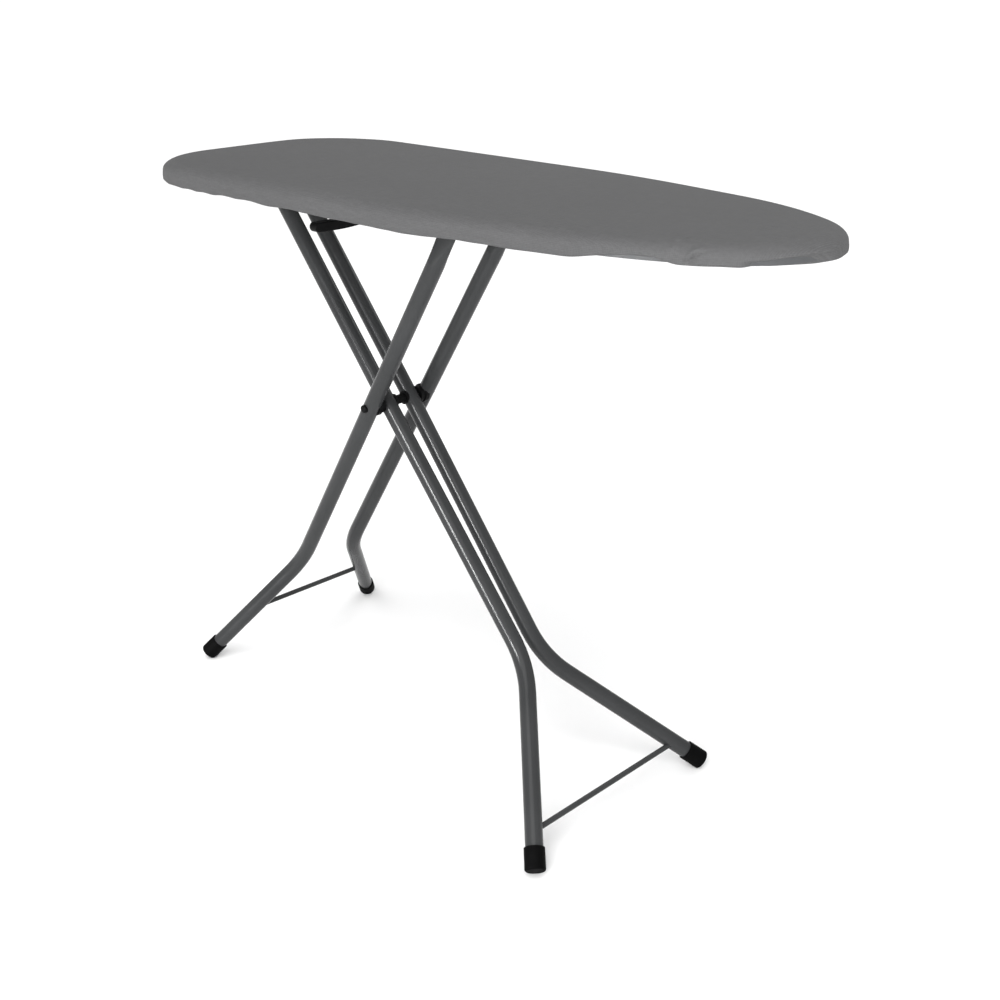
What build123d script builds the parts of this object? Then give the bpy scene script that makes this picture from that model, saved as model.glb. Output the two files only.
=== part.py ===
from build123d import *
import math
import os

os.makedirs("parts", exist_ok=True)

# Folding ironing board, millimetres, +Z up, +X towards the nose, standing open.
# Origin: on the floor, under the middle of the board.

# ---------------------------------------------------------------- board size
BOARD_LENGTH = 1070.0
REAR_WIDTH = 426.0        # width between the rear corners, before they are rounded
SHOULDER_WIDTH = 406.0    # width where the taper begins
SHOULDER_X = 125.0
TAPER_WIDTH = 314.0       # width where the taper turns steeper
TAPER_X = 398.5
NOSE_WIDTH = 146.0        # width of the corner that the nose radius rounds off
REAR_BOW = 13.0           # how far the rear edge bows out at its middle
REAR_BOW_R = 700.0
REAR_CORNER_R = 143.0
SHOULDER_R = 1300.0
TAPER_R = 440.0
TOP_HEIGHT = 853.0        # ironing surface above the floor

# ---------------------------------------------------------------- board build-up
SKIRT_DEPTH = 26.0        # cover, top surface to the underside of its hem
COVER_T = 1.5
COVER_EDGE_R = 17.0
HEM_WIDTH = 32.0          # hem turned in under the rim
PAD_T = 6.0
PAD_INSET = 11.8
MESH_T = 1.0
RIM_INSET = 5.5
RIM_T = 1.5
RIM_LIP = 14.0
RIM_RISE = 4.0            # underside of the rim above the hem
MESH_BORDER = 26.0
HOLE_LENGTH = 24.0
HOLE_WIDTH = 14.0
HOLE_PITCH_X = 42.0
HOLE_PITCH_Y = 34.0
STRAP_WIDTH = 26.0
STRAP_T = 2.0
STRAP_X = (-478.0, -296.0, 430.0)

# ---------------------------------------------------------------- legs
TUBE_D = 25.0
TUBE_WALL = 1.2
SPLAY_R = 140.0
PIVOT_X = -169.0
PIVOT_Z = 511.7
OUTER_LEAN = 0.642        # run in X for each unit of height, legs with feet at the rear
INNER_LEAN = -0.8757      # the same, legs with feet under the nose
OUTER_Y_TOP = 53.9
OUTER_BEND = (-376.0, 51.6, 189.4)
OUTER_FOOT = (-499.2, 175.0, 10.0)
INNER_Y_TOP = 22.5
INNER_Y_PIVOT = 22.2
INNER_BEND = (121.5, 16.9, 180.1)
INNER_FOOT = (300.4, 179.3, 10.0)
INNER_KINK_R = 600.0
CAP_D = 29.0
CAP_LENGTH = 31.0
CAP_END_T = 4.0
STRETCHER_D = 8.0
OUTER_STRETCHER_Z = 96.0
INNER_STRETCHER_Z = 40.0

# ---------------------------------------------------------------- hinges and slide
HINGE_Z = 805.0           # fixed hinge of the inner legs
PIN_D = 8.0
RUN_CLEARANCE = 0.05      # radial, between a pin and the bore that turns on it
SIDE_GAP = 0.3            # between faces that turn past each other
ROD_X = 24.5              # sliding rod of the outer legs, board at full height
ROD_Z = 822.0
FLAT_FROM_Z = 750.0       # outer tubes are pressed flat from here up
FLAT_WIDTH = 32.0
FLAT_T = 7.0
FOLD_STOP = 4.0           # degrees between the folded inner legs and the board
SLOT_PLAY = 5.4           # room above and below the sliding rod
RAIL_HALF = 40.0
RAIL_T = 2.0
RAIL_X = (-190.0, 367.0)
RAIL_SKIRT_X = -1.5       # from here to the nose the rail has deep slotted sides
RAIL_DROP = 807.0         # lowest edge of the slotted sides
RAIL_SHALLOW = 831.0
BRACKET_X = (-458.0, -394.0)
BRACKET_HALF = 39.5
BRACKET_T = 2.5
SPACER_D = 25.0
SADDLE_D = 29.0
SADDLE_DEPTH = 4.0        # how far a spacer reaches into the cup of the outer tube
CENTRE_SPACER_D = 14.0
SPACER_FLANGE = 6.0       # a centre spacer's ends are wider than its middle by this
PIVOT_SPACER_BITE = 3.0   # how far the spacers cup the round inner tubes
HINGE_SPACER_BITE = 1.0
PIN_HEAD_D = 14.0
PIN_HEAD_T = 3.0
CLIP_T = 2.5
PIN_TAIL = 4.0
NUT_D = 13.0
NUT_OVERLAP = 0.5         # domed nut beyond the end of the rod
SLEEVE_D = 14.0
SLEEVE_GAP = 0.7          # between a sleeve and the side of the rail
ROD_TAIL = 4.0
PIVOT_CAP_D = 12.0
NEAR_CAP_RISE = 4.0
FAR_CAP_RISE = 2.0

# ---------------------------------------------------------------- height lever
LEVER_X = -155.5
SHAFT_D = 6.0
SHAFT_Z = 838.5
SHAFT_X = (-188.0, 195.0)
BEARING_X = (-181.0, 187.0)
BEARING_T = 4.0
LOCK_REACH = 20.0
LOCK_T = 1.5
LOCK_X = (8.5, 172.5)
LOCK_TIP_Z = 831.8
NOTCH_D = 9.0
NOTCH_PITCH = 24.0
NOTCHES = 7
ARM_T = 4.0
ARM_WIDTH = 11.0
GRIP_WIDTH = 15.0
GRIP_TIP_Y = -150.0
GRIP_ROOT_Y = -41.0
GRIP_TOP_Z = 796.5
GRIP_LOW_Z = 783.5
GRIP_EDGE_R = 1.6

# ---------------------------------------------------------------- derived
HEM_Z = TOP_HEIGHT - SKIRT_DEPTH
PAD_TOP = TOP_HEIGHT - COVER_T
MESH_TOP = PAD_TOP - PAD_T
MESH_BOTTOM = MESH_TOP - MESH_T
RIM_BOTTOM = HEM_Z + RIM_RISE
STRAP_BOTTOM = MESH_BOTTOM - STRAP_T
HINGE_X = PIVOT_X + INNER_LEAN * (HINGE_Z - PIVOT_Z)
TUBE_R = TUBE_D / 2
SLOT_HALF = STRETCHER_D / 2 + SLOT_PLAY
ROD_REACH = OUTER_Y_TOP + FLAT_T / 2 + ROD_TAIL
HINGE_ARM = math.hypot(PIVOT_X - HINGE_X, HINGE_Z - PIVOT_Z)
ROD_ARM = math.hypot(ROD_X - PIVOT_X, ROD_Z - PIVOT_Z)
FOLD_PIVOT_X = HINGE_X + HINGE_ARM * math.cos(math.radians(FOLD_STOP))
FOLD_PIVOT_Z = HINGE_Z - HINGE_ARM * math.sin(math.radians(FOLD_STOP))
ROD_END_X = FOLD_PIVOT_X + math.sqrt(ROD_ARM**2 - (ROD_Z - FOLD_PIVOT_Z) ** 2)


def save(shape, name):
    export_step(shape, "parts/" + name + ".step")
    box = shape.bounding_box()
    print(name, shape.is_valid, round(shape.volume / 1000, 2), "cm3", box.min, box.max)


def rod_y(x, z, y0, y1, diameter):
    return Pos(x, (y0 + y1) / 2, z) * Rot(90, 0, 0) * Cylinder(diameter / 2, abs(y1 - y0))


def block(x0, x1, y0, y1, z0, z1):
    return Pos((x0 + x1) / 2, (y0 + y1) / 2, (z0 + z1) / 2) * Box(x1 - x0, y1 - y0, z1 - z0)


# ================================================================ board outline
def outline_face(inset):
    half = BOARD_LENGTH / 2
    bow_angle = math.atan2(REAR_WIDTH / 2, REAR_BOW)
    rear = -half - REAR_BOW_R * (1 / math.sin(bow_angle) - 1)
    near = [
        (rear + REAR_BOW, -REAR_WIDTH / 2),
        (SHOULDER_X, -SHOULDER_WIDTH / 2),
        (TAPER_X, -TAPER_WIDTH / 2),
        (half, -NOSE_WIDTH / 2),
    ]
    run = half - TAPER_X
    rise = (TAPER_WIDTH - NOSE_WIDTH) / 2
    turn = math.atan2(run, rise)
    nose_r = (NOSE_WIDTH / 2 - 3.0) / math.tan(turn / 2)
    radii = [REAR_CORNER_R, SHOULDER_R, TAPER_R, nose_r]
    far = [(x, -y) for x, y in reversed(near)]
    points = [(rear, 0)] + near + far
    edge_radii = [REAR_BOW_R] + radii + list(reversed(radii))
    wire = FilletPolyline(*points, radius=edge_radii, close=True)
    face = make_face(wire)
    if inset:
        face = offset(face, amount=-inset)
    return face


def slab(inset, z0, z1):
    return extrude(Pos(0, 0, z0) * outline_face(inset), amount=z1 - z0)


def top_edges(shape):
    return shape.edges().group_by(Axis.Z)[-1]


# ================================================================ padded top
def make_cover():
    outer = fillet(top_edges(slab(0, HEM_Z, TOP_HEIGHT)), COVER_EDGE_R)
    inner = slab(COVER_T, HEM_Z + COVER_T, PAD_TOP)
    inner = fillet(top_edges(inner), COVER_EDGE_R - COVER_T)
    mouth = slab(HEM_WIDTH, HEM_Z - 1, HEM_Z + COVER_T + 1)
    return outer - inner - mouth


def make_pad():
    pad = slab(PAD_INSET, MESH_TOP, PAD_TOP)
    return fillet(top_edges(pad), PAD_T - 0.5)


# ================================================================ steel top
def make_top_mesh():
    plate = slab(RIM_INSET, MESH_BOTTOM, MESH_TOP)
    inside = outline_face(RIM_INSET + MESH_BORDER)
    hole = Polygon(
        (-HOLE_LENGTH / 2, 0),
        (-HOLE_LENGTH / 4, -HOLE_WIDTH / 2),
        (HOLE_LENGTH / 4, -HOLE_WIDTH / 2),
        (HOLE_LENGTH / 2, 0),
        (HOLE_LENGTH / 4, HOLE_WIDTH / 2),
        (-HOLE_LENGTH / 4, HOLE_WIDTH / 2),
        align=None,
    )
    reach = inside.bounding_box().max.X
    columns = int(reach // HOLE_PITCH_X) + 1
    rows = int(REAR_WIDTH / 2 // HOLE_PITCH_Y) + 1
    cutters = []
    for i in range(-columns, columns + 1):
        shift = HOLE_PITCH_Y / 2 if i % 2 else 0
        for j in range(-rows, rows + 1):
            x = i * HOLE_PITCH_X
            y = j * HOLE_PITCH_Y + shift
            corners = [
                (x + sx * HOLE_LENGTH / 2, y + sy * HOLE_WIDTH / 2)
                for sx in (-1, 1)
                for sy in (-1, 1)
            ]
            if all(inside.is_inside((cx, cy, 0)) for cx, cy in corners):
                place = Pos(x, y, MESH_BOTTOM - 1) * hole
                cutters.append(extrude(place, amount=MESH_T + 2))
    return plate - cutters


def make_rim_frame():
    wall = slab(RIM_INSET, RIM_BOTTOM, MESH_BOTTOM)
    hollow = slab(RIM_INSET + RIM_T, RIM_BOTTOM + RIM_T, MESH_BOTTOM + 1)
    mouth = slab(RIM_INSET + RIM_LIP, RIM_BOTTOM - 1, RIM_BOTTOM + RIM_T + 1)
    return wall - hollow - mouth


def make_strap(x):
    inside = slab(RIM_INSET + RIM_T, STRAP_BOTTOM, MESH_BOTTOM)
    half = STRAP_WIDTH / 2
    return inside & block(x - half, x + half, -400, 400, STRAP_BOTTOM, MESH_BOTTOM)


# ================================================================ slide rail and rear bracket
def make_slide_rail():
    x0, x1 = RAIL_X
    rail = block(x0, x1, -RAIL_HALF, RAIL_HALF, STRAP_BOTTOM, MESH_BOTTOM)
    slot_x0 = ROD_X - STRETCHER_D / 2 - 1
    slot_x1 = ROD_END_X + STRETCHER_D / 2 + 2
    for side in (-1, 1):
        y_out = side * RAIL_HALF
        y_in = side * (RAIL_HALF - RAIL_T)
        y0, y1 = min(y_out, y_in), max(y_out, y_in)
        rail += block(x0, RAIL_SKIRT_X, y0, y1, RAIL_SHALLOW, STRAP_BOTTOM)
        deep = block(RAIL_SKIRT_X, x1, y0, y1, RAIL_DROP, STRAP_BOTTOM)
        deep -= block(slot_x0, slot_x1, y0 - 1, y1 + 1, ROD_Z - SLOT_HALF, ROD_Z + SLOT_HALF)
        rail += deep
    return rail


def make_leg_bracket():
    x0, x1 = BRACKET_X
    bracket = block(x0, x1, -BRACKET_HALF, BRACKET_HALF, STRAP_BOTTOM, MESH_BOTTOM)
    for side in (-1, 1):
        y_out = side * BRACKET_HALF
        y_in = side * (BRACKET_HALF - BRACKET_T)
        y0, y1 = min(y_out, y_in), max(y_out, y_in)
        cheek = block(x0, x1, y0, y1, HINGE_Z, STRAP_BOTTOM)
        nose = rod_y(HINGE_X, HINGE_Z, y0, y1, 26)
        taper = extrude(
            Plane.XZ.offset(-y0) * make_face(
                Polyline(
                    (x0, HINGE_Z + 12),
                    (x1, HINGE_Z + 12),
                    (HINGE_X + 13, HINGE_Z),
                    (HINGE_X - 13, HINGE_Z),
                    close=True,
                )
            ),
            amount=-(y1 - y0),
        )
        cheek = (cheek & block(x0, x1, y0, y1, HINGE_Z + 12, STRAP_BOTTOM)) + taper + nose
        bracket += cheek
    return bracket - rod_y(HINGE_X, HINGE_Z, -60, 60, PIN_D)


def make_hinge_pin():
    head_y = -BRACKET_HALF
    pin = rod_y(HINGE_X, HINGE_Z, head_y, BRACKET_HALF + PIN_TAIL, PIN_D)
    return pin + rod_y(HINGE_X, HINGE_Z, head_y - PIN_HEAD_T, head_y, PIN_HEAD_D)


def make_hinge_clip():
    clip = rod_y(HINGE_X, HINGE_Z, BRACKET_HALF, BRACKET_HALF + CLIP_T, PIN_HEAD_D)
    return clip - rod_y(HINGE_X, HINGE_Z, 0, BRACKET_HALF + PIN_TAIL, PIN_D)


# ================================================================ height lever
def make_shaft():
    x0, x1 = SHAFT_X
    return Pos((x0 + x1) / 2, 0, SHAFT_Z) * Rot(0, 90, 0) * Cylinder(SHAFT_D / 2, x1 - x0)


def make_bearing(x):
    half = BEARING_T / 2
    lug = block(x - half, x + half, -8, 8, SHAFT_Z - 5, STRAP_BOTTOM)
    bore = Pos(x, 0, SHAFT_Z) * Rot(0, 90, 0) * Cylinder(SHAFT_D / 2 + RUN_CLEARANCE, 20)
    return lug - bore


def make_lock_plate():
    x0, x1 = LOCK_X
    top = SHAFT_Z + LOCK_T / 2
    plate = block(x0, x1, -LOCK_REACH, 0, SHAFT_Z - LOCK_T / 2, top)
    lip = block(x0, x1, -LOCK_REACH, -LOCK_REACH + LOCK_T, LOCK_TIP_Z, top)
    for i in range(NOTCHES):
        x = ROD_X + i * NOTCH_PITCH
        if x < x1 - NOTCH_D / 2:
            lip -= rod_y(x, LOCK_TIP_Z, -LOCK_REACH - 2, -LOCK_REACH + 4, NOTCH_D)
    return plate + lip - make_shaft()


def arm_profile():
    path = Polyline(
        (-1.0, SHAFT_Z - 2.0),
        (-10.0, 824.0),
        (-38.0, 817.0),
        (-62.0, 791.5),
        (-136.0, 790.5),
    )
    return trace(path, line_width=ARM_T)


def make_lever_arm():
    arm = extrude(Plane.YZ * arm_profile(), amount=ARM_WIDTH / 2, both=True)
    return Pos(LEVER_X, 0, 0) * arm - make_shaft()


def make_lever_grip(arm):
    radius = (GRIP_TOP_Z - GRIP_LOW_Z) / 2
    tip = GRIP_TIP_Y + radius
    low = Spline(
        (tip, GRIP_LOW_Z),
        (-112.0, GRIP_LOW_Z - 0.3),
        (-80.0, 784.8),
        (GRIP_ROOT_Y, 790.5),
        tangents=[(1, 0), (1, 0.16)],
    )
    root = Line((GRIP_ROOT_Y, 790.5), (GRIP_ROOT_Y, GRIP_TOP_Z))
    top = Line((GRIP_ROOT_Y, GRIP_TOP_Z), (tip, GRIP_TOP_Z))
    end = ThreePointArc(
        (tip, GRIP_TOP_Z), (GRIP_TIP_Y, GRIP_TOP_Z - radius), (tip, GRIP_LOW_Z)
    )
    side = make_face([low, root, top, end])
    grip = extrude(Plane.YZ * side, amount=GRIP_WIDTH / 2, both=True)
    rounded = grip.edges().group_by(Axis.X)[-1] + grip.edges().group_by(Axis.X)[0]
    grip = fillet(rounded, GRIP_EDGE_R)
    return Pos(LEVER_X, 0, 0) * grip - arm


# ================================================================ legs
def on_line(a, b, z):
    t = (a[2] - z) / (a[2] - b[2])
    return tuple(p + (q - p) * t for p, q in zip(a, b))


def foot_axis(bend, foot):
    return (Vector(*foot) - Vector(*bend)).normalized()


def swept_tube(points, radii, radius):
    path = FilletPolyline(*points, radius=radii) if radii else Line(*points)
    start = Vector(*points[0])
    direction = (Vector(*points[1]) - start).normalized()
    section = Plane(origin=start, z_dir=direction) * Circle(radius)
    return sweep(section, path=path)


def foot_point(bend, foot):
    # end of the cap: low enough for the floor to cut a small flat on it
    axis = foot_axis(bend, foot)
    tilt = math.hypot(axis.X, axis.Y)
    rise = CAP_D / 2 * tilt - 2.6
    return Vector(*foot) + axis * ((foot[2] - rise) / -axis.Z)


def tube_end(bend, foot):
    return foot_point(bend, foot) - foot_axis(bend, foot) * CAP_END_T


def make_foot_cap(bend, foot, tube_solid):
    axis = foot_axis(bend, foot)
    end = foot_point(bend, foot)
    plane = Plane(origin=end - axis * CAP_LENGTH, z_dir=axis)
    cap = extrude(plane * Circle(CAP_D / 2), amount=CAP_LENGTH)
    tip = cap.edges().filter_by(GeomType.CIRCLE).sort_by(Axis.Z)
    cap = fillet(tip[0], 3.0)
    cap -= tube_solid
    return cap - block(-900, 900, -400, 400, -60, 0)


def inner_leg_points(side):
    end = tube_end(INNER_BEND, INNER_FOOT)
    stub = 14.0
    length = math.hypot(1, INNER_LEAN)
    top_z = HINGE_Z + stub / length
    top_x = PIVOT_X + INNER_LEAN * (top_z - PIVOT_Z)
    points = [
        (top_x, INNER_Y_TOP, top_z),
        (PIVOT_X, INNER_Y_PIVOT, PIVOT_Z),
        INNER_BEND,
        (end.X, end.Y, end.Z),
    ]
    return [(x, side * y, z) for x, y, z in points]


def outer_leg_points(side):
    end = tube_end(OUTER_BEND, OUTER_FOOT)
    top_x = PIVOT_X + OUTER_LEAN * (FLAT_FROM_Z - PIVOT_Z)
    points = [
        (top_x, OUTER_Y_TOP, FLAT_FROM_Z),
        OUTER_BEND,
        (end.X, end.Y, end.Z),
    ]
    return [(x, side * y, z) for x, y, z in points]


def inner_leg_solid(side, radius):
    return swept_tube(inner_leg_points(side), [INNER_KINK_R, SPLAY_R], radius)


def outer_leg_solid(side, radius):
    return swept_tube(outer_leg_points(side), [SPLAY_R], radius)


def flattened_top(side):
    # the tube goes from round to a flat tongue that holds the sliding rod
    start = Vector(*outer_leg_points(side)[0])
    rod = Vector(ROD_X, side * OUTER_Y_TOP, ROD_Z)
    axis = (rod - start).normalized()
    down = Vector(*outer_leg_points(side)[1]) - start
    flat_at = start + axis * 46
    crown = FLAT_WIDTH / 2
    x_dir = axis.cross(Vector(0, 1, 0)).normalized()
    round_plane = Plane(origin=start, x_dir=x_dir, z_dir=-down.normalized())
    flat_plane = Plane(origin=flat_at, x_dir=x_dir, z_dir=axis)
    round_part = loft([
        round_plane * Circle(TUBE_R),
        flat_plane * Ellipse(FLAT_WIDTH / 2, FLAT_T / 2),
    ])
    reach = (rod - flat_at).length + crown + 2
    tongue = extrude(flat_plane * Ellipse(FLAT_WIDTH / 2, FLAT_T / 2), amount=reach)
    keep = rod_y(ROD_X, ROD_Z, rod.Y - 20, rod.Y + 20, FLAT_WIDTH)
    keep += extrude(
        Plane(origin=flat_at - axis * 4, x_dir=x_dir, z_dir=axis) * Rectangle(60, 40),
        amount=(rod - flat_at).length + 4,
    )
    return round_part + (tongue & keep)


def make_inner_tube(side):
    tube = inner_leg_solid(side, TUBE_R) - inner_leg_solid(side, TUBE_R - TUBE_WALL)
    bore = PIN_D + 2 * RUN_CLEARANCE
    y0, y1 = sorted((side * 2, side * 48))
    tube -= rod_y(PIVOT_X, PIVOT_Z, y0, y1, bore)
    return tube - rod_y(HINGE_X, HINGE_Z, y0, y1, bore)


def make_outer_tube(side):
    tube = outer_leg_solid(side, TUBE_R) - outer_leg_solid(side, TUBE_R - TUBE_WALL)
    tube += flattened_top(side)
    y0, y1 = sorted((side * 30, side * 80))
    tube -= rod_y(PIVOT_X, PIVOT_Z, y0, y1, PIN_D)
    return tube - rod_y(ROD_X, ROD_Z, y0, y1, STRETCHER_D)


def make_stretcher(bend, foot, z, solids):
    x, y, z = on_line(bend, foot, z)
    return rod_y(x, z, -y, y, STRETCHER_D) - solids


# ================================================================ main pivot
def outer_y_at_pivot():
    return on_line((0, OUTER_Y_TOP, FLAT_FROM_Z), (0, OUTER_BEND[1], OUTER_BEND[2]), PIVOT_Z)[1]


def make_pivot_bolt():
    face = outer_y_at_pivot() + TUBE_R
    near_end = face + NEAR_CAP_RISE - 2
    far_end = face + FAR_CAP_RISE - 1
    return rod_y(PIVOT_X, PIVOT_Z, -near_end, far_end, PIN_D)


def make_pivot_cap(side, rise, solids):
    face = outer_y_at_pivot() + TUBE_R
    y0, y1 = sorted((side * (face - 2.0), side * (face + rise)))
    cap = rod_y(PIVOT_X, PIVOT_Z, y0, y1, PIVOT_CAP_D)
    outer = cap.edges().filter_by(GeomType.CIRCLE).sort_by(Axis.Y)
    cap = fillet(outer[-1] if side > 0 else outer[0], rise * 0.4)
    return cap - solids


def make_side_spacer(side, solids):
    inner_face = INNER_Y_PIVOT + TUBE_R + SIDE_GAP
    seat = outer_y_at_pivot() - SADDLE_DEPTH
    y0, y1 = sorted((side * inner_face, side * seat))
    spacer = rod_y(PIVOT_X, PIVOT_Z, y0, y1, SPACER_D)
    s0, s1 = sorted((side * (outer_y_at_pivot() - TUBE_R + 2), side * seat))
    spacer += rod_y(PIVOT_X, PIVOT_Z, s0, s1, SADDLE_D)
    spacer -= rod_y(PIVOT_X, PIVOT_Z, y0 - 1, y1 + 1, PIN_D)
    return spacer - solids


def centre_spacer(x, z, half, flare, solids):
    body = rod_y(x, z, -half, half, CENTRE_SPACER_D)
    for side in (-1, 1):
        y0, y1 = sorted((side * (half - flare), side * half))
        body += rod_y(x, z, y0, y1, CENTRE_SPACER_D + SPACER_FLANGE)
    body -= rod_y(x, z, -half - 1, half + 1, PIN_D + 2 * RUN_CLEARANCE)
    return body - solids


# ================================================================ sliding rod
def pair_on_rod(y_inner, y_outer, diameter):
    rod = rod_y(ROD_X, ROD_Z, -ROD_REACH, ROD_REACH, STRETCHER_D)
    rings = []
    for side in (-1, 1):
        y0, y1 = sorted((side * y_inner, side * y_outer))
        rings.append(rod_y(ROD_X, ROD_Z, y0, y1, diameter) - rod)
    return Compound(children=rings)


def make_rod_nuts():
    return pair_on_rod(OUTER_Y_TOP + FLAT_T / 2, ROD_REACH + NUT_OVERLAP, NUT_D)


def make_rod_spacers():
    return pair_on_rod(RAIL_HALF + SLEEVE_GAP, OUTER_Y_TOP - FLAT_T / 2, SLEEVE_D)


# ================================================================ build
save(make_cover(), "cover")
save(make_pad(), "pad")
save(make_top_mesh(), "top_mesh")
save(make_rim_frame(), "rim_frame")
for name, x in zip(("strap_rear", "strap_middle", "strap_nose"), STRAP_X):
    save(make_strap(x), name)
save(make_slide_rail(), "slide_rail")
save(make_leg_bracket(), "leg_bracket")
save(make_hinge_pin(), "hinge_pin")
save(make_hinge_clip(), "hinge_clip")

save(make_bearing(BEARING_X[0]), "lever_bearing_rear")
save(make_bearing(BEARING_X[1]), "lever_bearing_front")
save(make_shaft(), "lever_shaft")
save(make_lock_plate(), "lock_plate")
lever_arm = make_lever_arm()
save(lever_arm, "lever_arm")
save(make_lever_grip(lever_arm), "lever_grip")

inner_solids = {side: inner_leg_solid(side, TUBE_R) for side in (-1, 1)}
outer_solids = {side: outer_leg_solid(side, TUBE_R) for side in (-1, 1)}
for side, word in ((-1, "near"), (1, "far")):
    save(make_inner_tube(side), "inner_tube_" + word)
    save(make_outer_tube(side), "outer_tube_" + word)
    cap = make_foot_cap(
        (INNER_BEND[0], side * INNER_BEND[1], INNER_BEND[2]),
        (INNER_FOOT[0], side * INNER_FOOT[1], INNER_FOOT[2]),
        inner_solids[side],
    )
    save(cap, "foot_cap_inner_" + word)
    cap = make_foot_cap(
        (OUTER_BEND[0], side * OUTER_BEND[1], OUTER_BEND[2]),
        (OUTER_FOOT[0], side * OUTER_FOOT[1], OUTER_FOOT[2]),
        outer_solids[side],
    )
    save(cap, "foot_cap_outer_" + word)
    save(make_side_spacer(side, outer_solids[side]), "pivot_spacer_" + word)

inner_pair = [inner_solids[-1], inner_solids[1]]
outer_pair = [outer_solids[-1], outer_solids[1]]
bolt = make_pivot_bolt()
save(bolt, "pivot_bolt")
save(make_pivot_cap(-1, NEAR_CAP_RISE, [outer_solids[-1], bolt]), "pivot_cap_near")
save(make_pivot_cap(1, FAR_CAP_RISE, [outer_solids[1], bolt]), "pivot_cap_far")
pivot_half = INNER_Y_PIVOT - TUBE_R + PIVOT_SPACER_BITE
save(centre_spacer(PIVOT_X, PIVOT_Z, pivot_half, 4.5, inner_pair), "pivot_spacer_centre")
hinge_half = INNER_Y_TOP - TUBE_R + HINGE_SPACER_BITE
save(centre_spacer(HINGE_X, HINGE_Z, hinge_half, 2, inner_pair), "hinge_spacer")

save(make_stretcher(INNER_BEND, INNER_FOOT, INNER_STRETCHER_Z, inner_pair), "inner_stretcher")
save(make_stretcher(OUTER_BEND, OUTER_FOOT, OUTER_STRETCHER_Z, outer_pair), "outer_stretcher")

save(rod_y(ROD_X, ROD_Z, -ROD_REACH, ROD_REACH, STRETCHER_D), "slide_rod")
save(make_rod_nuts(), "slide_rod_nuts")
save(make_rod_spacers(), "slide_rod_spacers")

inner_turn = math.degrees(math.atan2(HINGE_Z - PIVOT_Z, PIVOT_X - HINGE_X)) - FOLD_STOP
beta_open = math.degrees(math.atan2(ROD_Z - PIVOT_Z, ROD_X - PIVOT_X))
beta_fold = math.degrees(math.atan2(ROD_Z - FOLD_PIVOT_Z, ROD_END_X - FOLD_PIVOT_X))
print("hinge", HINGE_X, HINGE_Z, "inner turn", inner_turn, "outer turn", beta_open - beta_fold)
print("rod end", ROD_END_X, "folded pivot", FOLD_PIVOT_X, FOLD_PIVOT_Z)
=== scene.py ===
import bpy
import bmesh
import math
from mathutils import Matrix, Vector, noise


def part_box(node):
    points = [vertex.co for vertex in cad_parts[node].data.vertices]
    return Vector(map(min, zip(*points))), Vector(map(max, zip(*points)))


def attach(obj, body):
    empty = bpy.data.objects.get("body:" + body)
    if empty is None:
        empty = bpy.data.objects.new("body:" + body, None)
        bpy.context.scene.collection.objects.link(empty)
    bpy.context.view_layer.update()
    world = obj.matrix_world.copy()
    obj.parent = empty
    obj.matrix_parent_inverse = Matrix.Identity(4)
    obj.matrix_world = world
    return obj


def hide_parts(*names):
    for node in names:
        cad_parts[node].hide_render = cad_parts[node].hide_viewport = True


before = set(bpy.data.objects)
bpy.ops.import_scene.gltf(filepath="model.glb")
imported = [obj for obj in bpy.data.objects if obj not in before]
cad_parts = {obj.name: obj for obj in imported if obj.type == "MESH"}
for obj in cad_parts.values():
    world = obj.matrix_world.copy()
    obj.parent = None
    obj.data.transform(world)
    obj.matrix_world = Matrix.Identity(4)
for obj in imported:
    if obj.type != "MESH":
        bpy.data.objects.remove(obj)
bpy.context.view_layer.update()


# ------------------------------------------------------------------ mesh helpers
def new_mesh(name, verts, faces, smooth=True):
    me = bpy.data.meshes.new(name)
    me.from_pydata([tuple(v) for v in verts], [], faces)
    me.validate()
    me.update()
    if smooth:
        me.polygons.foreach_set("use_smooth", [True] * len(me.polygons))
    obj = bpy.data.objects.new(name, me)
    bpy.context.scene.collection.objects.link(obj)
    return obj


def activate(obj):
    for other in bpy.context.selected_objects:
        other.select_set(False)
    bpy.context.view_layer.objects.active = obj
    obj.select_set(True)


def apply_modifiers(obj):
    activate(obj)
    for mod in list(obj.modifiers):
        bpy.ops.object.modifier_apply(modifier=mod.name)


def ring_surface(name, rings, capped=False):
    # closed rings of equally many points, joined by quads, with or without flat ends
    n = len(rings[0])
    verts = [p for ring in rings for p in ring]
    faces = []
    for r in range(len(rings) - 1):
        for i in range(n):
            j = (i + 1) % n
            faces.append((r * n + i, r * n + j, (r + 1) * n + j, (r + 1) * n + i))
    if capped:
        faces.append(tuple(reversed(range(n))))
        faces.append(tuple(range((len(rings) - 1) * n, len(rings) * n)))
    return new_mesh(name, verts, faces)


# ------------------------------------------------------------------ materials
THREAD = 0.0009
WAVE_PERIOD = 0.318  # about how far apart the wave texture's bands are at scale 1, in metres


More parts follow.
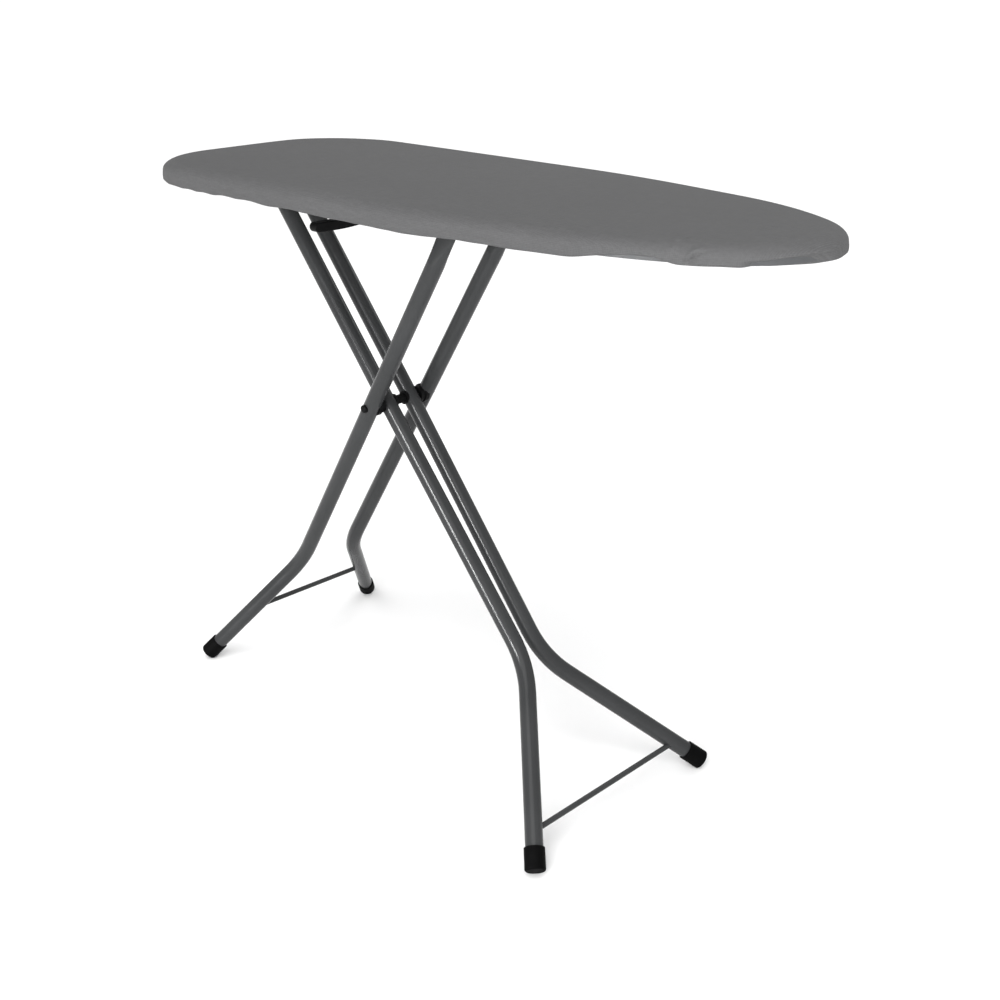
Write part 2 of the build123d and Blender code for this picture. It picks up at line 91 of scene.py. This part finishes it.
class Nodes:
    def __init__(self, name):
        self.mat = bpy.data.materials.new(name)
        self.mat.use_nodes = True
        self.tree = self.mat.node_tree
        self.bsdf = self.tree.nodes["Principled BSDF"]
        self.coord = self.tree.nodes.new("ShaderNodeTexCoord")

    def node(self, kind, **props):
        n = self.tree.nodes.new(kind)
        for key, value in props.items():
            setattr(n, key, value)
        return n

    def link(self, a, b):
        self.tree.links.new(a, b)

    def mapping(self, scale):
        m = self.node("ShaderNodeMapping")
        m.inputs["Scale"].default_value = scale
        self.link(self.coord.outputs["Object"], m.inputs["Vector"])
        return m.outputs["Vector"]

    def noise(self, scale, detail=4.0, rough=0.5, vector=None, distortion=0.0):
        n = self.node("ShaderNodeTexNoise")
        n.inputs["Scale"].default_value = scale
        n.inputs["Detail"].default_value = detail
        n.inputs["Roughness"].default_value = rough
        n.inputs["Distortion"].default_value = distortion
        self.link(vector or self.coord.outputs["Object"], n.inputs["Vector"])
        return n.outputs["Fac"]

    def wave(self, scale, direction, distortion):
        n = self.node("ShaderNodeTexWave", bands_direction=direction)
        n.inputs["Scale"].default_value = scale
        n.inputs["Distortion"].default_value = distortion
        n.inputs["Detail"].default_value = 1.0
        self.link(self.coord.outputs["Object"], n.inputs["Vector"])
        return n.outputs["Fac"]

    def ramp(self, fac, stops):
        n = self.node("ShaderNodeValToRGB")
        elements = n.color_ramp.elements
        while len(elements) < len(stops):
            elements.new(0.5)
        for element, (pos, color) in zip(elements, stops):
            element.position = pos
            element.color = (*color, 1.0)
        self.link(fac, n.inputs["Fac"])
        return n.outputs["Color"]

    def maprange(self, fac, a, b, lo=0.0, hi=1.0):
        n = self.node("ShaderNodeMapRange")
        n.inputs["From Min"].default_value = lo
        n.inputs["From Max"].default_value = hi
        n.inputs["To Min"].default_value = a
        n.inputs["To Max"].default_value = b
        self.link(fac, n.inputs["Value"])
        return n.outputs["Result"]

    def math(self, op, a, b):
        n = self.node("ShaderNodeMath", operation=op)
        for socket, value in zip(n.inputs, (a, b)):
            if isinstance(value, (int, float)):
                socket.default_value = value
            else:
                self.link(value, socket)
        return n.outputs["Value"]

    def mix(self, fac, color, other):
        # sockets 6, 7 and 2 are the colour ones: from one colour to a fixed other one
        n = self.node("ShaderNodeMix", data_type="RGBA")
        self.link(fac, n.inputs[0])
        self.link(color, n.inputs[6])
        n.inputs[7].default_value = (*other, 1.0)
        return n.outputs[2]

    def bump(self, height, strength, distance, normal=None):
        n = self.node("ShaderNodeBump")
        n.inputs["Strength"].default_value = strength
        n.inputs["Distance"].default_value = distance
        self.link(height, n.inputs["Height"])
        if normal is not None:
            self.link(normal, n.inputs["Normal"])
        return n.outputs["Normal"]

    def finish(self, color, rough, normal, **fixed):
        self.link(color, self.bsdf.inputs["Base Color"])
        if isinstance(rough, float):
            self.bsdf.inputs["Roughness"].default_value = rough
        else:
            self.link(rough, self.bsdf.inputs["Roughness"])
        self.link(normal, self.bsdf.inputs["Normal"])
        for key, value in fixed.items():
            self.bsdf.inputs[key.replace("_", " ")].default_value = value
        return self.mat


def powder_coat(name, dark, light, rough_lo, rough_hi, gloss=0.25):
    # a faint cloudiness, fine lighter specks and a slight orange-peel surface
    m = Nodes(name)
    cloud = m.noise(9.0, 3.0)
    fine = m.noise(900.0, 3.0, 0.6)
    color = m.ramp(cloud, [(0.3, dark), (0.7, light)])
    speck = m.maprange(m.noise(2600.0, 1.0), 0.0, 0.35, 0.62, 0.8)
    color = m.mix(speck, color, tuple(min(1.0, c * 2.0) for c in light))
    rough = m.maprange(m.noise(60.0, 4.0), rough_lo, rough_hi, 0.3, 0.7)
    normal = m.bump(fine, 0.03, 0.0004)
    return m.finish(color, rough, normal, Metallic=0.0, IOR=1.5, Specular_IOR_Level=gloss)


def zinc(name):
    # drawn metal: grain along X, dull stains
    m = Nodes(name)
    grain = m.noise(40.0, 5.0, 0.6, m.mapping((1, 14, 14)))
    color = m.ramp(grain, [(0.25, (0.22, 0.222, 0.22)), (0.75, (0.38, 0.38, 0.37))])
    stain = m.maprange(m.noise(25.0, 4.0), 0.0, 0.5, 0.5, 0.75)
    color = m.mix(stain, color, (0.17, 0.165, 0.15))
    rough = m.maprange(m.noise(120.0, 3.0), 0.42, 0.6, 0.3, 0.7)
    return m.finish(color, rough, m.bump(grain, 0.15, 0.0003), Metallic=1.0)


def plastic(name, base, lift, rough_lo, rough_hi, texture, strength, gloss):
    # a fine moulded grain
    m = Nodes(name)
    cloud = m.noise(35.0, 3.0)
    color = m.ramp(cloud, [(0.3, base), (0.7, lift)])
    grain = m.node("ShaderNodeTexVoronoi", feature="SMOOTH_F1")
    grain.inputs["Scale"].default_value = texture
    m.link(m.coord.outputs["Object"], grain.inputs["Vector"])
    rough = m.maprange(m.noise(90.0, 4.0), rough_lo, rough_hi, 0.3, 0.7)
    normal = m.bump(grain.outputs["Distance"], strength, 0.0002)
    return m.finish(color, rough, normal, Metallic=0.0, IOR=1.48, Specular_IOR_Level=gloss)


def woven(name, dark, light):
    # plain weave of mixed yarn: threads along X and Y on top, along X and Z on the skirt
    m = Nodes(name)
    scale = WAVE_PERIOD / (THREAD * 2)
    wx, wy, wz = (m.wave(scale, axis, 0.6) for axis in "XYZ")
    geo = m.node("ShaderNodeNewGeometry")
    split = m.node("ShaderNodeSeparateXYZ")
    m.link(geo.outputs["Normal"], split.inputs[0])
    up = m.maprange(m.math("ABSOLUTE", split.outputs["Z"], 0.0), 0.0, 1.0, 0.35, 0.75)
    side = m.node("ShaderNodeMix", data_type="FLOAT")
    m.link(up, side.inputs[0])
    m.link(wz, side.inputs[2])
    m.link(wy, side.inputs[3])
    weave = m.math("MAXIMUM", wx, side.outputs[0])
    slub = m.noise(55.0, 5.0, 0.65, m.mapping((1.0, 9.0, 9.0)))
    slub2 = m.noise(55.0, 5.0, 0.65, m.mapping((9.0, 1.0, 9.0)))
    melange = m.math("ADD", m.math("MULTIPLY", slub, 0.5), m.math("MULTIPLY", slub2, 0.5))
    color = m.ramp(melange, [(0.35, dark), (0.65, light)])
    broad = m.maprange(m.noise(3.0, 3.0), 0.0, 0.22, 0.35, 0.7)
    color = m.mix(broad, color, tuple(c * 0.86 for c in dark))
    gaps = m.maprange(weave, 0.30, 0.0, 0.35, 0.95)
    color = m.mix(gaps, color, tuple(c * 0.5 for c in dark))
    rough = m.maprange(melange, 0.82, 0.95, 0.3, 0.7)
    normal = m.bump(weave, 0.35, 0.0003)
    normal = m.bump(melange, 0.25, 0.0006, normal)
    return m.finish(
        color, rough, normal, Sheen_Weight=0.025, Sheen_Roughness=0.5, Specular_IOR_Level=0.09
    )


def felt(name):
    # tangled fibres with a few dark flecks
    m = Nodes(name)
    fibre = m.noise(420.0, 6.0, 0.7, m.mapping((1, 3, 3)), 1.5)
    fibre2 = m.noise(420.0, 6.0, 0.7, m.mapping((3, 1, 3)), 1.5)
    mixf = m.math("ADD", m.math("MULTIPLY", fibre, 0.5), m.math("MULTIPLY", fibre2, 0.5))
    color = m.ramp(mixf, [(0.3, (0.42, 0.40, 0.37)), (0.7, (0.66, 0.64, 0.60))])
    fleck = m.maprange(m.noise(700.0, 2.0), 0.0, 0.6, 0.68, 0.74)
    color = m.mix(fleck, color, (0.12, 0.12, 0.16))
    return m.finish(color, 0.95, m.bump(mixf, 0.6, 0.0012), Sheen_Weight=0.3)


GRAPHITE = powder_coat(
    "leg_powder_coat", (0.0305, 0.0313, 0.0322), (0.0388, 0.0399, 0.0410), 0.20, 0.26, 0.15
)
TABLE_COAT = powder_coat(
    "table_powder_coat", (0.050, 0.052, 0.055), (0.075, 0.077, 0.08), 0.4, 0.6
)
ZINC = zinc("zinc_plate")
BLACK = plastic(
    "black_moulded", (0.0035, 0.0035, 0.0037), (0.0060, 0.0060, 0.0063), 0.38, 0.55, 1400.0, 0.2, 0.05
)
FOOT = plastic(
    "foot_moulded", (0.0016, 0.0016, 0.0017), (0.0030, 0.0030, 0.0031), 0.5, 0.7, 900.0, 0.3, 0.03
)
CLOTH = woven("cover_weave", (0.078, 0.078, 0.0794), (0.105, 0.105, 0.1066))
FELT = felt("pad_felt")

PLASTIC_PARTS = (
    "lever_grip", "hinge_spacer", "slide_rod_spacers", "pivot_cap_near", "pivot_cap_far",
    "pivot_spacer_near", "pivot_spacer_centre", "pivot_spacer_far",
)
ZINC_PARTS = (
    "hinge_pin", "hinge_clip", "slide_rod", "slide_rod_nuts", "pivot_bolt", "lever_shaft",
    "lock_plate", "lever_arm",
)


def paint(obj, mat):
    obj.data.materials.clear()
    obj.data.materials.append(mat)


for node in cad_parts:
    name = node if isinstance(node, str) else node["name"]
    obj = bpy.data.objects[name]
    if name == "cover":
        continue
    if "tube" in name or "stretcher" in name:
        mat = GRAPHITE
    elif name.startswith("foot_cap"):
        mat = FOOT
    elif name in PLASTIC_PARTS:
        mat = BLACK
    elif name in ZINC_PARTS:
        mat = ZINC
    elif name == "pad":
        mat = FELT
    else:
        mat = TABLE_COAT
    for slot in obj.material_slots:
        slot.material = mat


# ------------------------------------------------------------------ cover and pad
AROUND = 540  # points around the outline
CLOTH_T = 0.0009
# the rolled edge: how far it reaches in and down, and how square it is
ROLL_IN = 0.028
ROLL_DOWN = 0.0156
ROLL_POWER = 2.15
ROLL_TURNS = 10
# the felt's crown over the flat top, and how far from the edge it is full
CROWN = 0.0022
CROWN_IN = 0.085
cover_lo, cover_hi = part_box("cover")
CREST_Z = cover_hi[2] + 0.0022
TOP_Z = CREST_Z - CROWN
SPINE_REAR = cover_lo[0] + 0.165
SPINE_NOSE = cover_hi[0] - 0.072
# rings from the rolled edge to the spine, as shares of the way
INWARD = (
    0.04, 0.08, 0.13, 0.19, 0.26, 0.34, 0.42, 0.50, 0.58, 0.66, 0.74, 0.82, 0.89, 0.95, 1.0,
)
# the cover stands proud of the board around the far rear corner
BULGE = 0.013
BULGE_X = -0.44
BULGE_Y = 0.095
BULGE_HALF = 0.09
# the wall of the skirt, under the rolled edge
WALL_TOP_DROP = 0.0125
WALL_STEPS = 11
WALL_BOW = 0.0006
CLOTH_GAP = 0.0002
# the hem: its height at the rear, then where it rises or drops, over what length and by how much
HEM_INSET = 0.032
HEM_Z = 0.8223
HEM_STEPS = (
    (0.0, 0.27, 0.0028), (0.315, 0.088, 0.0100), (0.414, 0.028, -0.0066), (0.500, 0.022, -0.0025),
)
HEM_SCALLOP = 0.0011
HEM_WAVER = 0.0005
# the turned hem's section: how far in from the wall, and how far above the hem's height
HEM_SECTION = (
    (HEM_INSET, 0.0012), (0.025, 0.0006), (0.018, 0.0002), (0.012, 0.0), (0.0070, 0.0001),
    (0.0036, 0.0006), (0.0012, 0.0014),
)
HEM_FADE = 0.06
HEM_BEND = 0.0024
# the tuck at the nose: the height of its crease, the ridge above it, the step and slope below it
CREASE_Z = 0.8370
CREASE_RISE = 0.0030
TUCK_RIDGE = 0.0010
TUCK_STEP = 0.0046
TUCK_SLOPE = 1.35
# where the tuck starts along the nose and over what length, and where it ends across the tip
TUCK_X = 0.4935
TUCK_GROW = 0.013
TUCK_Y = 0.032
TUCK_ACROSS = 0.115
# the cloth simulation
FRAMES = 20
PRESSURE = 3.0
STIFFNESS = 40.0
# what is kept of the simulated movement
MAX_BULGE = 0.0016
MAX_SLIDE = 0.0012
# slack ripples on the skirt, and waves on the flat top
RIPPLE = 0.0012
TOP_WAVE = 0.0004
# two creases just before the nose: points, half width, depth
CREASES = (
    ((Vector((0.4290, -0.0880, 0.8525)), Vector((0.4320, -0.1160, 0.8490)),
      Vector((0.4345, -0.1330, 0.8390))), 0.0036, 0.0022),
    ((Vector((0.4650, -0.1120, 0.8475)), Vector((0.4560, -0.1215, 0.8420)),
      Vector((0.4490, -0.1250, 0.8310))), 0.0038, 0.0032),
)
CREASE_SIDE = Vector((0.62, -0.64, 0.45))
# the gathered hem casing: half its width and height, its puckers, and its place at the hem's edge
CASING_AROUND = 10
CASING_WIDE = 0.0042
CASING_TALL = 0.0013
CASING_GATHER = 0.0006
CASING_OUT = 0.0015
CASING_LIFT = 0.0016
CASING_TUCK = 0.004
# the felt under the cloth
PAD_GAP = 0.0006
PAD_FUZZ_Z = 0.00025
PAD_FUZZ_X = 0.0006


def smooth(t):
    t = min(1.0, max(0.0, t))
    return t * t * (3 - 2 * t)


def hull_2d(points):
    points = sorted(set(points))

    def half(seq):
        out = []
        for p in seq:
            while len(out) > 1:
                (ax, ay), (bx, by) = out[-2], out[-1]
                if (bx - ax) * (p[1] - ay) - (by - ay) * (p[0] - ax) > 0:
                    break
                out.pop()
            out.append(p)
        return out

    return half(points)[:-1] + half(reversed(points))[:-1]


def resample(loop, count):
    lengths = [0.0]
    closed = loop + [loop[0]]
    for a, b in zip(closed, closed[1:]):
        lengths.append(lengths[-1] + math.dist(a, b))
    out, k = [], 0
    for i in range(count):
        s = lengths[-1] * i / count
        while lengths[k + 1] < s:
            k += 1
        t = (s - lengths[k]) / (lengths[k + 1] - lengths[k])
        a, b = closed[k], closed[k + 1]
        out.append(Vector((a[0] + (b[0] - a[0]) * t, a[1] + (b[1] - a[1]) * t)))
    return out


def board_outline(count):
    mesh = bpy.data.objects["cover"].data
    loop = resample(hull_2d([(round(v.co.x, 5), round(v.co.y, 5)) for v in mesh.vertices]), count)
    mirrored = [Vector((loop[-i].x, -loop[-i].y)) for i in range(count)]
    loop = [(p + q) / 2 for p, q in zip(loop, mirrored)]
    for _ in range(3):
        loop = [(loop[i - 1] + loop[i] * 2 + loop[(i + 1) % count]) / 4 for i in range(count)]
    for p in loop:
        if p.x < BULGE_X:
            beside = math.exp(-((p.y - BULGE_Y) / BULGE_HALF) ** 2)
            p.x -= BULGE * beside * smooth((BULGE_X - p.x) / 0.05)
    normals = []
    for i in range(count):
        d = (loop[(i + 1) % count] - loop[i - 1]).normalized()
        normals.append(Vector((d.y, -d.x)))
    return loop, normals


OUTLINE, OUT_N = board_outline(AROUND)


def hem_height(x, y):
    # the hem is drawn up just before the nose, and drops where the cloth bunches and at the tip
    z = HEM_Z
    for start, length, rise in HEM_STEPS:
        z += rise * smooth((x - start) / length)
    # scallops on the rear half and a slight waver all along, not the same on both sides
    phase = 0.0 if y < 0 else 1.1
    scallop = abs(math.sin(x * 60 + 1.2 + phase + 1.4 * math.sin(x * 17 + phase)))
    z += HEM_SCALLOP * (scallop - 0.6) * smooth((-0.05 - x) / 0.12)
    z += HEM_WAVER * math.sin(x * 41 + 0.6 + 2 * phase)
    return z


def nose_tuck(x, y):
    # how far the hem is tucked under on the near side of the nose, 0 to 1
    return smooth((x - TUCK_X) / TUCK_GROW) * smooth((TUCK_Y - y) / TUCK_ACROSS)


def offset_point(i, inset, z):
    p = OUTLINE[i] - OUT_N[i] * inset
    return Vector((p.x, p.y, z))


def wall_inset(z, hem, tuck, crease):
    # how far inside the outline the cloth hangs at height z, below the start of the flat top
    low = TOP_Z - ROLL_DOWN
    if z > low:
        turn = max(0.0, 1 - ((z - low) / ROLL_DOWN) ** ROLL_POWER)
        inset = ROLL_IN * (1 - turn ** (1 / ROLL_POWER))
    else:
        inset = -WALL_BOW * math.sin(math.pi * min(1.0, (low - z) / (low - hem)))
    inset -= TUCK_RIDGE * tuck * math.exp(-((z - crease - 0.0012) / 0.0032) ** 2)
    if z < crease:
        step = TUCK_STEP * smooth((crease - z) / 0.0020)
        inset += tuck * (step + TUCK_SLOPE * (crease - z))
    return inset + CLOTH_GAP


def cover_profile(i):
    # one section of the cover, from the inner edge of the hem over the edge to the flat top
    x, y = OUTLINE[i]
    hem = hem_height(x, y)
    tuck = nose_tuck(x, y)
    crease = CREASE_Z + CREASE_RISE * smooth((x - 0.500) / 0.035)
    wall = hem + HEM_BEND
    foot = wall_inset(wall, hem, tuck, crease)
    points = [(inset + foot * (1 - inset / HEM_FADE), hem + lift) for inset, lift in HEM_SECTION]
    wall_top = TOP_Z - WALL_TOP_DROP
    for k in range(WALL_STEPS):
        z = wall + (wall_top - wall) * k / WALL_STEPS
        points.append((wall_inset(z, hem, tuck, crease), z))
    start = math.asin((wall_top - (TOP_Z - ROLL_DOWN)) / ROLL_DOWN)
    for k in range(ROLL_TURNS + 1):
        a = start + (math.pi / 2 - start) * k / ROLL_TURNS
        z = TOP_Z - ROLL_DOWN + ROLL_DOWN * math.sin(a)
        points.append((wall_inset(z, hem, tuck, crease), z))
    return [offset_point(i, inset, z) for inset, z in points]


def cover_rings():
    sections = [cover_profile(i) for i in range(AROUND)]
    rings = [list(ring) for ring in zip(*sections)]
    edge = rings[-1]
    for t in INWARD:
        ring = []
        for p in edge:
            spine = Vector((min(SPINE_NOSE, max(SPINE_REAR, p.x)), 0.0, p.z))
            q = p.lerp(spine, t)
            # the felt crowns gently, from the rolled edge to the flat middle
            q.z += CROWN * (1 - max(0.0, 1 - (q - p).length / CROWN_IN) ** 2)
            ring.append(q)
        rings.append(ring)
    return rings


def apply_cloth(obj, pins):
    # runs the cloth and gives back where each vertex started and where it went
    group = obj.vertex_groups.new(name="pin")
    for index, weight in pins:
        group.add([index], weight, "REPLACE")
    mod = obj.modifiers.new("cloth", "CLOTH")
    cloth = mod.settings
    cloth.quality = 6
    cloth.mass = 0.25
    cloth.tension_stiffness = STIFFNESS
    cloth.compression_stiffness = STIFFNESS
    cloth.shear_stiffness = STIFFNESS * 0.5
    cloth.bending_stiffness = 2.0
    cloth.use_pressure = True
    cloth.uniform_pressure_force = PRESSURE
    cloth.vertex_group_mass = "pin"
    cloth.pin_stiffness = 2.0
    cloth.effector_weights.gravity = 0.0
    mod.collision_settings.use_collision = False
    mod.collision_settings.use_self_collision = False
    mod.point_cache.frame_start = 1
    mod.point_cache.frame_end = FRAMES + 1
    scene = bpy.context.scene
    scene.frame_start = 1
    scene.frame_end = FRAMES + 1
    start = [v.co.copy() for v in obj.data.vertices]
    for f in range(1, FRAMES + 1):
        scene.frame_set(f)
    evaluated = obj.evaluated_get(bpy.context.evaluated_depsgraph_get())
    moved = [v.co.copy() for v in evaluated.data.vertices]
    obj.modifiers.remove(mod)
    obj.vertex_groups.clear()
    scene.frame_set(1)
    return start, moved


def fold(p, points, width, depth):
    # a crease along a few points: a sharp valley with a soft ridge on one side
    best = None
    total = len(points) - 1
    for k, (a, b) in enumerate(zip(points, points[1:])):
        line = b - a
        t = max(0.0, min(1.0, (p - a).dot(line) / line.length_squared))
        across = p - (a + line * t)
        if best is None or across.length < best[0]:
            best = (across.length, line.cross(CREASE_SIDE).dot(across), (k + t) / total)
    dist, side, along = best
    fade = smooth(along / 0.35) * smooth((1.0 - along) / 0.18)
    d = dist / width if side > 0 else -dist / width
    return depth * fade * (0.75 * math.exp(-(d - 1.0) ** 2 * 1.6) - math.exp(-d * d * 4.0))


def settle_cloth(shell):
    # the hem and the flat top are pinned, and pressure fills out the cloth between them
    pins = []
    for v in shell.data.vertices:
        flat = smooth((v.co.z - (TOP_Z - 0.0008)) / 0.0010)
        low = smooth((hem_height(v.co.x, v.co.y) + 0.0022 - v.co.z) / 0.0016)
        hold = max(flat * 0.9, low)
        if hold > 0.05:
            pins.append((v.index, hold))
    normals = [v.normal.copy() for v in shell.data.vertices]
    start, moved = apply_cloth(shell, pins)
    steps = []
    for n, a, b in zip(normals, start, moved):
        step = b - a
        out = step.dot(n)
        slide = step - n * out
        if slide.length > MAX_SLIDE:
            slide *= MAX_SLIDE / slide.length
        # the felt and the rim hold the cloth out: it may bulge a little, never sink in
        steps.append(slide + n * max(0.0, min(MAX_BULGE, out)))
    for v, step in zip(shell.data.vertices, steps):
        v.co += step


def dress_cover(shell):
    shell.data.update()
    normals = [v.normal.copy() for v in shell.data.vertices]
    for v, n in zip(shell.data.vertices, normals):
        p = v.co.copy()
        hem = hem_height(p.x, p.y)
        skirt = smooth((TOP_Z - 0.004 - p.z) / (TOP_Z - hem))
        # slack in the cloth: long soft ripples that grow towards the hem
        ripple = noise.noise(Vector((p.x * 14, p.y * 14, p.z * 9 + 3.1)))
        ripple += 0.5 * noise.noise(Vector((p.x * 34, p.y * 34, p.z * 16 + 7.7)))
        shift = RIPPLE * ripple * skirt
        for points, width, depth in CREASES:
            shift += fold(p, points, width, depth)
        v.co = p + n * shift
        # the flat top: barely visible waves where the cloth isn't pulled tight
        flat = smooth((n.z - 0.6) / 0.4)
        wave = noise.noise(Vector((p.x * 5.0, p.y * 7.0, 0.4)))
        v.co.z += TOP_WAVE * wave * flat


def make_cover():
    shell = ring_surface("cover_cloth", cover_rings())
    bm = bmesh.new()
    bm.from_mesh(shell.data)
    bmesh.ops.remove_doubles(bm, verts=bm.verts, dist=2e-5)
    bmesh.ops.recalc_face_normals(bm, faces=bm.faces)
    top = max(bm.faces, key=lambda f: f.calc_center_median().z)
    if top.normal.z < 0:
        bmesh.ops.reverse_faces(bm, faces=bm.faces)
    bm.to_mesh(shell.data)
    bm.free()
    settle_cloth(shell)
    sub = shell.modifiers.new("sub", "SUBSURF")
    sub.levels = sub.render_levels = 1
    apply_modifiers(shell)
    dress_cover(shell)
    solid = shell.modifiers.new("solid", "SOLIDIFY")
    solid.thickness = CLOTH_T
    solid.offset = -1.0
    apply_modifiers(shell)
    shell.data.polygons.foreach_set("use_smooth", [True] * len(shell.data.polygons))
    paint(shell, CLOTH)
    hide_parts("cover")
    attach(shell, "board")
    return shell


cover = make_cover()


def make_pad():
    # felt, pressed thin where the cloth rolls over the edge
    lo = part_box("pad")[0]
    under = CLOTH_T + PAD_GAP
    levels = (
        (0.030, lo[2]), (0.0140, lo[2]), (0.0126, lo[2] + 0.0008), (0.0130, lo[2] + 0.0018),
        (0.0155, lo[2] + 0.0028), (0.0200, TOP_Z - under - 0.0005), (0.0300, TOP_Z - under),
    )
    rings = []
    for inset, z in levels:
        ring = [offset_point(i, inset, z) for i in range(AROUND)]
        for p in ring:
            p.z += PAD_FUZZ_Z * noise.noise(p * 60)
            p.x += PAD_FUZZ_X * noise.noise(p * 90)
        rings.append(ring)
    for inset, crown in ((0.05, 0.6), (0.066, 0.9), (0.072, 1.0)):
        rings.append([offset_point(i, inset, TOP_Z - under + CROWN * crown) for i in range(AROUND)])
        rings.insert(0, [offset_point(i, inset, lo[2]) for i in range(AROUND)])
    pad = ring_surface("pad_felt_sheet", rings, capped=True)
    paint(pad, FELT)
    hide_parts("pad")
    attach(pad, "board")


def make_hem_casing():
    # the turned hem with its elastic, gathered into small puckers
    loop = []
    for i in range(AROUND):
        x, y = OUTLINE[i]
        inset = HEM_INSET - CASING_OUT + CASING_TUCK * nose_tuck(x, y)
        loop.append(offset_point(i, inset, hem_height(x, y) + CASING_LIFT))
    rings = []
    for i, p in enumerate(loop):
        n = OUT_N[i]
        gather = 0.5 + 0.5 * math.sin(i * 1.9 + 2.2 * noise.noise(Vector((i * 0.05, 0, 0))))
        ring = []
        for k in range(CASING_AROUND):
            a = 2 * math.pi * k / CASING_AROUND
            wide = CASING_WIDE * math.cos(a)
            tall = (CASING_TALL + CASING_GATHER * gather) * math.sin(a)
            ring.append(Vector((p.x + n.x * wide, p.y + n.y * wide, p.z + tall)))
        rings.append(ring)
    rings.append([v.copy() for v in rings[0]])
    casing = ring_surface("hem_casing", rings)
    bm = bmesh.new()
    bm.from_mesh(casing.data)
    bmesh.ops.remove_doubles(bm, verts=bm.verts, dist=1e-6)
    bmesh.ops.recalc_face_normals(bm, faces=bm.faces)
    bm.to_mesh(casing.data)
    bm.free()
    paint(casing, CLOTH)
    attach(casing, "board")
    return casing


make_pad()
casing = make_hem_casing()


# ------------------------------------------------------------------ floor, light, camera
FLOOR_HALF = 80.0
WORLD_LIGHT = 0.72
# the camera, fitted to the photograph: where it looks, from which side and how far away
CAM_TARGET = Vector((0.03105, 0.01772, 0.40205))
CAM_AZIMUTH = 45.77
CAM_TILT = 23.12
CAM_DISTANCE = 1.7836
CAM_LENS = 44.43


def make_stage():
    s = FLOOR_HALF
    corners = [(-s, -s, 0), (s, -s, 0), (s, s, 0), (-s, s, 0)]
    floor = new_mesh("studio_floor", corners, [(0, 1, 2, 3)], False)
    m = Nodes("floor_paint")
    tone = m.ramp(m.noise(1.5, 3.0), [(0.3, (0.925, 0.925, 0.925)), (0.7, (0.93, 0.93, 0.93))])
    paint(floor, m.finish(tone, 0.8, m.bump(m.noise(60.0, 4.0), 0.03, 0.001)))


def add_light(data, place, target):
    obj = bpy.data.objects.new(data.name, data)
    obj.location = place
    obj.rotation_euler = (Vector(target) - Vector(place)).to_track_quat("-Z", "Y").to_euler()
    bpy.context.scene.collection.objects.link(obj)
    return obj


def area_light(name, place, target, size, power):
    data = bpy.data.lights.new(name, "AREA")
    data.shape = "RECTANGLE"
    data.size, data.size_y = size
    data.energy = power
    return add_light(data, place, target)


def sun_light(name, azimuth, height, strength, spread):
    data = bpy.data.lights.new(name, "SUN")
    data.energy = strength
    data.angle = math.radians(spread)
    obj = bpy.data.objects.new(name, data)
    az, el = math.radians(azimuth), math.radians(height)
    toward = Vector((math.cos(az) * math.cos(el), math.sin(az) * math.cos(el), math.sin(el)))
    obj.location = toward * 3
    obj.rotation_euler = toward.to_track_quat("Z", "Y").to_euler()
    bpy.context.scene.collection.objects.link(obj)


def spot_light(name, place, target, spread, radius, power):
    data = bpy.data.lights.new(name, "SPOT")
    data.spot_size = math.radians(spread)
    data.spot_blend = 1.0
    data.shadow_soft_size = radius
    data.energy = power
    add_light(data, place, target)


make_stage()
sun_light("key", azimuth=-66, height=60, strength=1.7, spread=50)
# the strip only draws the narrow highlight along the tubes, the fill only lifts the shaded sides
strip = area_light("strip", (0.23, -3.2, 1.18), (0, 0, 0.5), (0.26, 1.5), 195)
strip.visible_diffuse = False
fill = area_light("fill", (1.5, -3.2, 1.2), (0, 0, 0.6), (2.4, 1.6), 100)
fill.visible_glossy = False
spot_light("nose", (2.05, -0.46, 1.0), (0.48, -0.05, 0.85), spread=25, radius=0.15, power=54)
area_light("back", (-0.9, 2.6, 2.4), (0, 0, 0.6), (2.2, 1.2), 22)
world = bpy.data.worlds.new("studio")
world.use_nodes = True
world.node_tree.nodes["Background"].inputs["Color"].default_value = (1, 1, 1, 1)
world.node_tree.nodes["Background"].inputs["Strength"].default_value = WORLD_LIGHT
bpy.context.scene.world = world
bpy.context.scene.view_settings.view_transform = "Standard"

cam_data = bpy.data.cameras.new("camera")
cam = bpy.data.objects.new("camera", cam_data)
bpy.context.scene.collection.objects.link(cam)
cam_data.sensor_width = 36.0
cam_data.lens = CAM_LENS
cam_data.clip_start = 0.01
azimuth, tilt = math.radians(CAM_AZIMUTH), math.radians(CAM_TILT)
back = Vector((
    math.sin(azimuth) * math.cos(tilt), -math.cos(azimuth) * math.cos(tilt), math.sin(tilt),
))
cam.location = CAM_TARGET + back * CAM_DISTANCE
cam.rotation_euler = back.to_track_quat("Z", "Y").to_euler()
bpy.context.scene.camera = cam
